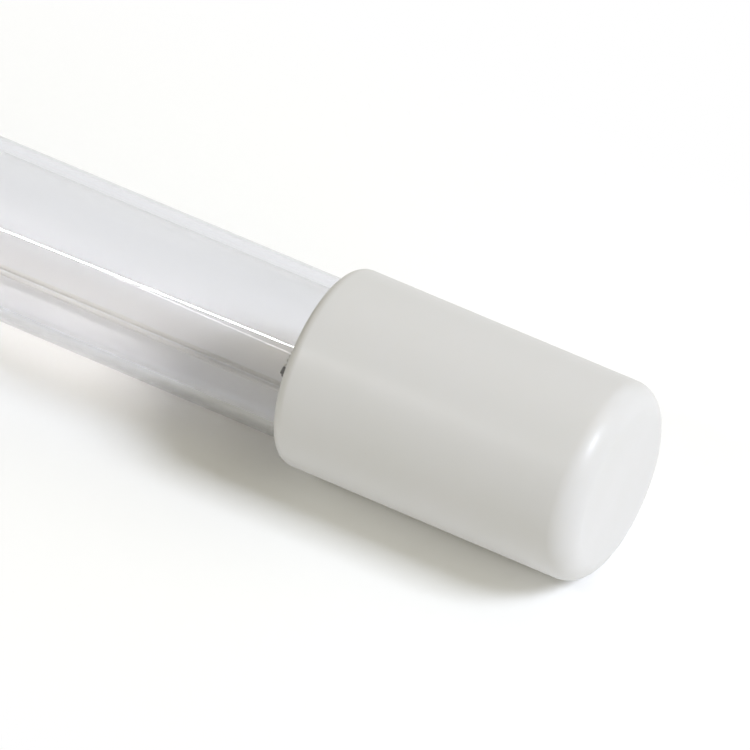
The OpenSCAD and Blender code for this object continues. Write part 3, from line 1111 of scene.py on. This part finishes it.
@dataclass
class Electrode:
    """One end's cathode: two lead rods with folded clamps, and the coated coil between them."""

    lamp: Lamp
    end: End
    clamp: float = 0.9 * MM
    clamp_t: float = 0.7 * MM
    strip: float = 0.26 * MM
    coil_r: float = 0.50 * MM
    turns: int = 7
    fine_r: float = 0.085 * MM
    fine_turns: int = 150
    wire_r: float = 0.032 * MM
    path_points: int = 1500

    @property
    def x(self) -> float:
        """The filament's place along X."""
        return self.end.x(self.lamp, self.lamp.filament_at)

    def build(self) -> list[bpy.types.Object]:
        """Builds the two rods and the coil."""
        word = self.end.value
        rods = [self.rod(side, k) for side, k in ((1, 1), (-1, 2))]
        coil = self.coil_tree().grown(
            f"filament_{word}_coiled", bpy.data.meshes.new("coil_seed"), "filament_metal", [f"filament_{word}"]
        )
        return [*rods, coil]

    def rod(self, side: int, k: int) -> bpy.types.Object:
        """Builds one lead rod with its clamp.

        Args:
            side: 1 or -1, for the side of the mount that it stands on.
            k: the number in its node's name.

        Returns:
            The piece.
        """
        lamp = self.lamp
        bm = bmesh.new()
        y0 = side * lamp.lead_pitch / 2
        soft = 0.05 * MM
        near = lamp.foil_to - lamp.weld_l
        far = lamp.filament_at - self.clamp / 2
        profile = [(near, lamp.lead_r - soft), (near + soft, lamp.lead_r), (far - soft, lamp.lead_r), (far, lamp.lead_r - soft)]
        angles = [2 * math.pi * j / 24 for j in range(24)]
        shell(
            bm,
            rings_about_axis(
                profile,
                angles,
                lambda t, r, a: turned(
                    lamp, self.end.x(lamp, t), y0 + r * math.cos(a), lamp.lead_lift + r * math.sin(a)
                ),
            ),
        )
        self.add_clamp(bm, y0)
        word = self.end.value
        return finished(f"inner_lead_{word}_{k}_bent", bm, NEAR_BLACK_MOLY, [f"inner_lead_{word}_{k}"])

    def add_clamp(self, bm: bmesh.types.BMesh, y0: float) -> None:
        """Adds a strip that is folded over the coil's tail."""
        h, w = self.clamp / 2, self.clamp / 2 - self.strip
        outline = [(-h, -h), (h, -h), (h, -w), (-w, -w), (-w, w), (h, w), (h, h), (-h, h)]
        part = bmesh.new()
        lamp = self.lamp
        rows = []
        for y in (y0 - self.clamp_t / 2, y0 + self.clamp_t / 2):
            rows.append([part.verts.new(turned(lamp, self.x + self.out * x, y, lamp.lead_lift + z)) for x, z in outline])
        part.faces.new(rows[0])
        part.faces.new(rows[1][::-1])
        for j in range(len(outline)):
            k = (j + 1) % len(outline)
            part.faces.new((rows[0][j], rows[1][j], rows[1][k], rows[0][k]))
        bmesh.ops.bevel(part, geom=part.edges[:], offset=0.04 * MM, segments=2, affect="EDGES", profile=0.5)
        bmesh.ops.recalc_face_normals(part, faces=part.faces)
        spare = bpy.data.meshes.new("spare")
        part.to_mesh(spare)
        bm.from_mesh(spare)
        bpy.data.meshes.remove(spare)
        part.free()

    @property
    def out(self) -> int:
        """1 where the tube's middle lies towards +X, and -1 where it lies towards -X."""
        return 1 if self.end is End.BASE else -1

    def coil_tree(self) -> GeometryTree:
        """Makes the tree that winds a fine coil along a coarse one, with straight tails."""
        lamp = self.lamp
        reach = lamp.lead_pitch + self.clamp_t
        tree = GeometryTree(
            f"coiled_coil_{self.end.value}",
            {
                "Span": reach,
                "Coil Radius": self.coil_r,
                "Turns": self.turns,
                "Fine Radius": self.fine_r,
                "Fine Turns": self.fine_turns,
                "Wire Radius": self.wire_r,
            },
        )
        line = tree.node("GeometryNodeCurvePrimitiveLine", {"Start": (0.0, -0.5, 0.0), "End": (0.0, 0.5, 0.0)})
        fine = tree.node("GeometryNodeResampleCurve", {"Curve": line.outputs[0], "Count": self.path_points})
        share = tree.node("GeometryNodeSplineParameter").outputs["Factor"]
        middle = tree.math("SUBTRACT", share, 0.5)
        body = self.body_share()
        wound = tree.node(
            "ShaderNodeMapRange",
            {0: tree.math("ABSOLUTE", middle), 1: body / 2, 2: body / 2 + 0.03, 3: 1.0, 4: 0.0},
            clamp=True,
            interpolation_type="SMOOTHSTEP",
        ).outputs[0]
        angle = tree.math("MULTIPLY", tree.math("MULTIPLY", middle, 2 * math.pi / body), tree.size("Turns"))
        small = tree.math("MULTIPLY", tree.math("MULTIPLY", middle, 2 * math.pi), tree.size("Fine Turns"))
        orbit = tree.math("MULTIPLY", tree.size("Coil Radius"), wound)
        out = tree.math("MULTIPLY", tree.size("Fine Radius"), tree.math("COSINE", small))
        along = tree.math("MULTIPLY", tree.size("Fine Radius"), tree.math("SINE", small))
        radius = tree.math("ADD", orbit, out)
        centre = turned(lamp, self.x, 0.0, lamp.lead_lift)
        place = tree.node(
            "ShaderNodeCombineXYZ",
            {
                0: tree.math("MULTIPLY", radius, tree.math("COSINE", angle)),
                1: tree.math("ADD", tree.math("MULTIPLY", middle, tree.size("Span")), along),
                2: tree.math("MULTIPLY", radius, tree.math("SINE", angle)),
            },
        )
        bent = tree.node("GeometryNodeSetPosition", {"Geometry": fine.outputs[0], "Position": place.outputs[0]})
        ring = tree.node("GeometryNodeCurvePrimitiveCircle", {"Resolution": 6, "Radius": tree.size("Wire Radius")})
        wire = tree.node(
            "GeometryNodeCurveToMesh",
            {"Curve": bent.outputs[0], "Profile Curve": ring.outputs[0], "Fill Caps": True},
        )
        smooth = tree.node("GeometryNodeSetShadeSmooth", {0: wire.outputs[0]})
        set_up = tree.node(
            "GeometryNodeTransform",
            {
                "Geometry": smooth.outputs[0],
                "Translation": tuple(centre),
                "Rotation": (lamp.mount_turn, 0.0, 0.0),
            },
        )
        tree.finish(set_up.outputs[0], EMITTER)
        return tree

    def body_share(self) -> float:
        """Gives the share of the filament's span that is wound."""
        lamp = self.lamp
        return (lamp.lead_pitch - self.clamp_t - 0.6 * MM) / (lamp.lead_pitch + self.clamp_t)


@dataclass
class ReturnSleeves:
    """The two insulating sleeves that carry the blank end's wires back along the tube."""

    lamp: Lamp
    steps: int = 90
    sway: float = 0.03 * MM
    wall: float = 0.08 * MM

    def build(self) -> list[bpy.types.Object]:
        """Builds both sleeves."""
        return [self.sleeve(k, y, z) for k, (y, z) in enumerate(self.lamp.sleeve_orbits, 1)]

    def sleeve(self, k: int, y: float, z: float) -> bpy.types.Object:
        """Builds one sleeve along its place beside the tube."""
        lamp = self.lamp
        first = lamp.sleeve_from
        span = lamp.length - 2 * first
        path = []
        for i in range(self.steps + 1):
            x = first + span * i / self.steps
            bow = self.sway * noise.noise(Vector((x * 45.0, k * 7.3, 0.0)))
            away = Vector((0.0, z, -y)).normalized() * bow
            path.append(Vector((x, y, z)) + away)
        bm = bmesh.new()
        hose(bm, path, lamp.sleeve_r, lamp.sleeve_r - self.wall)
        bmesh.ops.recalc_face_normals(bm, faces=bm.faces)
        return finished(f"return_sleeve_{k}_laid", bm, SLEEVE, [f"return_sleeve_{k}"], 50.0)


@dataclass
class MercuryBead:
    """The drop of mercury, a little flattened where it lies on the glass."""

    squash: float = 0.94
    rows: int = 20
    sides: int = 40

    def build(self) -> bpy.types.Object:
        """Builds the drop in the place of its node."""
        low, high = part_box("mercury_bead")
        centre = (low + high) / 2
        radius = (high.x - low.x) / 2
        rings = []
        for i in range(1, self.rows):
            polar = math.pi * i / self.rows
            height = -math.cos(polar)
            drop = radius * height * (self.squash if height > 0 else 1.0 - 0.05 * abs(height) ** 3)
            wide = radius * math.sin(polar)
            rings.append(
                [
                    centre
                    + Vector(
                        (
                            wide * math.cos(2 * math.pi * j / self.sides),
                            wide * math.sin(2 * math.pi * j / self.sides),
                            drop,
                        )
                    )
                    for j in range(self.sides)
                ]
            )
        bm = bmesh.new()
        shell(bm, rings)
        return finished("mercury_drop", bm, MERCURY, ["mercury_bead"], 80.0)


# Studio


@dataclass(frozen=True)
class Panel:
    """A plain rectangular lamp of the studio."""

    name: str
    aim: Vector
    towards: Vector
    distance: float
    size: tuple[float, float]
    power: float
    colour: Colour = (1.0, 1.0, 1.0)
    along: Vector = field(default_factory=lambda: Vector((1.0, 0.0, 0.0)))
    through_glass: bool = False

    def hang(self) -> bpy.types.Object:
        """Hangs the lamp at its distance from its aim, with its long side along a given direction."""
        data = bpy.data.lights.new(self.name, "AREA")
        data.shape = "RECTANGLE"
        data.size, data.size_y = self.size
        data.energy = self.power
        data.color = self.colour
        made = bpy.data.objects.new(self.name, data)
        bpy.context.scene.collection.objects.link(made)
        back = self.towards.normalized()
        side = (self.along - self.along.dot(back) * back).normalized()
        made.matrix_world = Matrix.Translation(self.aim + back * self.distance) @ Matrix(
            (side, back.cross(side), back)
        ).transposed().to_4x4()
        made.visible_camera = False
        made.visible_transmission = self.through_glass
        log.info("%s: %.2f W", self.name, self.power)
        return made


@dataclass
class Studio:
    """Floor, backdrop, lights and camera."""

    lamp: Lamp
    azimuth: float = 30.0
    elevation: float = 48.3
    roll: float = -0.5
    distance: float = 1.2
    pixels_per_metre: float = 11170.0
    rim_pixel: tuple[float, float] = (321.7, 363.7)
    ambient: float = 0.465

    def build(self) -> None:
        """Sets the whole studio up."""
        self.lay_floor()
        self.light()
        self.place_camera()
        bpy.context.scene.view_settings.view_transform = "Standard"

    @property
    def back(self) -> Vector:
        """The direction from the lamp to the camera."""
        a, e = math.radians(self.azimuth), math.radians(self.elevation)
        return Vector((math.sin(a) * math.cos(e), -math.cos(a) * math.cos(e), math.sin(e)))

    def lay_floor(self) -> None:
        """Lays a large plain floor under the lamp."""
        half = 4.0
        bm = bmesh.new()
        corners = [bm.verts.new((x * half, y * half, -self.lamp.cap_r)) for x, y in ((-1, -1), (1, -1), (1, 1), (-1, 1))]
        bm.faces.new(corners)
        floor = plain_object("floor", bm)
        floor.data.materials.append(TABLE.material())

    def place_camera(self) -> None:
        """Places the camera so that the blank cap's rim falls on its pixel."""
        scene = bpy.context.scene
        data = bpy.data.cameras.new("camera")
        camera = bpy.data.objects.new("camera", data)
        scene.collection.objects.link(camera)
        scene.camera = camera
        turn = (-self.back).to_track_quat("-Z", "Y").to_matrix()
        turn = turn @ Matrix.Rotation(math.radians(self.roll), 3, "Z")
        data.sensor_width = 36.0
        data.lens = 36.0 * self.distance * self.pixels_per_metre / PICTURE
        dx, dy = ((p - PICTURE / 2) / self.pixels_per_metre for p in self.rim_pixel)
        rim = Vector((self.lamp.length - self.lamp.cap_l, 0.0, 0.0))
        target = rim - turn @ Vector((dx, -dy, 0.0))
        camera.matrix_world = Matrix.Translation(target + self.back * self.distance) @ turn.to_4x4()
        data.clip_start, data.clip_end = 0.01, 100.0

    def mirrored(self, behind: float, tilt: float) -> tuple[Vector, Vector]:
        """Gives a place on the tube and the direction that it mirrors into the camera.

        Args:
            behind: distance of the place from the blank cap's rim, in metres.
            tilt: angle in degrees by which the mirrored light lies above the plane through axis and camera.

        Returns:
            The place and the direction.
        """
        near = Vector((0.0, self.back.y, self.back.z)).normalized()
        up = Vector((0.0, near.z, -near.y))
        cross = math.sqrt(1.0 - self.back.x**2)
        t = math.radians(tilt)
        normal = math.cos(t / 2) * near + math.sin(t / 2) * up
        place = Vector((self.lamp.length - self.lamp.cap_l - behind, 0.0, 0.0)) + self.lamp.tube_r * normal
        return place, Vector((-self.back.x, 0.0, 0.0)) + cross * (math.cos(t) * near + math.sin(t) * up)

    def light(self) -> None:
        """Hangs the lights and lights the world."""
        lamp = self.lamp
        far = 0.4
        (p0, l0), (p1, l1) = self.mirrored(45.0 * MM, -1.0), self.mirrored(4.0 * MM, 6.0)
        start, stop = p0 + l0 * far, p1 + l1 * far
        middle = (start + stop) / 2
        toward = (middle - (p0 + p1) / 2).normalized()
        reach = (middle - (p0 + p1) / 2).length
        Panel(
            "strip",
            middle - toward * reach,
            toward,
            reach,
            ((stop - start).length, 0.006),
            0.16,
            along=stop - start,
            through_glass=True,
        ).hang()
        cap = Vector((lamp.length - lamp.cap_l / 2, 0.0, 0.0))
        Panel("key", cap, Vector((0.70, 0.06, 0.71)), 1.0, (0.28, 0.28), 7.8, (0.84, 0.885, 1.0)).hang()
        Panel("fill", cap, Vector((0.1, 1.0, 0.25)), 1.0, (0.6, 0.6), 0.7, (0.8, 0.9, 1.0)).hang()
        Panel("top", cap, Vector((0.15, 0.55, 1.0)), 1.3, (1.0, 1.0), 1.4, (1.0, 0.85, 0.7)).hang()
        world = bpy.data.worlds.new("white_room")
        bpy.context.scene.world = world
        world.use_nodes = True
        graph = Graph(world.node_tree)
        watched = seen(graph)
        tone = graph.tint(watched, (1.0, 0.965, 0.78), (1.0, 1.0, 1.0))
        strength = (self.ambient + watched * (1.0 - self.ambient)) * (1.0 - counted(graph))
        room = graph.node("ShaderNodeBackground", {"Color": tone, "Strength": strength})
        graph.surface(room.outputs[0])


def main() -> None:
    """Builds the lamp and its studio in order."""
    logging.basicConfig(level=logging.INFO, format="%(name)s %(message)s", stream=sys.stdout)
    lamp = Lamp.measured()
    log.info("lamp: %s", lamp)
    QuartzTube(lamp).build()
    ContactPins(lamp).build()
    ReturnSleeves(lamp).build()
    MercuryBead().build()
    for end in End:
        CeramicCap(lamp, end).build()
        CementFillet(lamp, end, seed=3 + len(end.value)).build()
        Electrode(lamp, end).build()
        word = end.value
        dress([f"{word}_cement"], CEMENT)
        dress([f"foil_{word}_{k}" for k in (1, 2)] + [f"outer_lead_{word}_{k}" for k in (1, 2)], MOLYBDENUM)
        dress([f"crimp_{word}_{k}" for k in (1, 2)], NICKEL)
    dress([f"{kind}_wire_{k}" for kind in ("pin", "return") for k in (1, 2)], NICKEL)
    Studio(lamp).build()


if __name__ == "__main__":
    main()
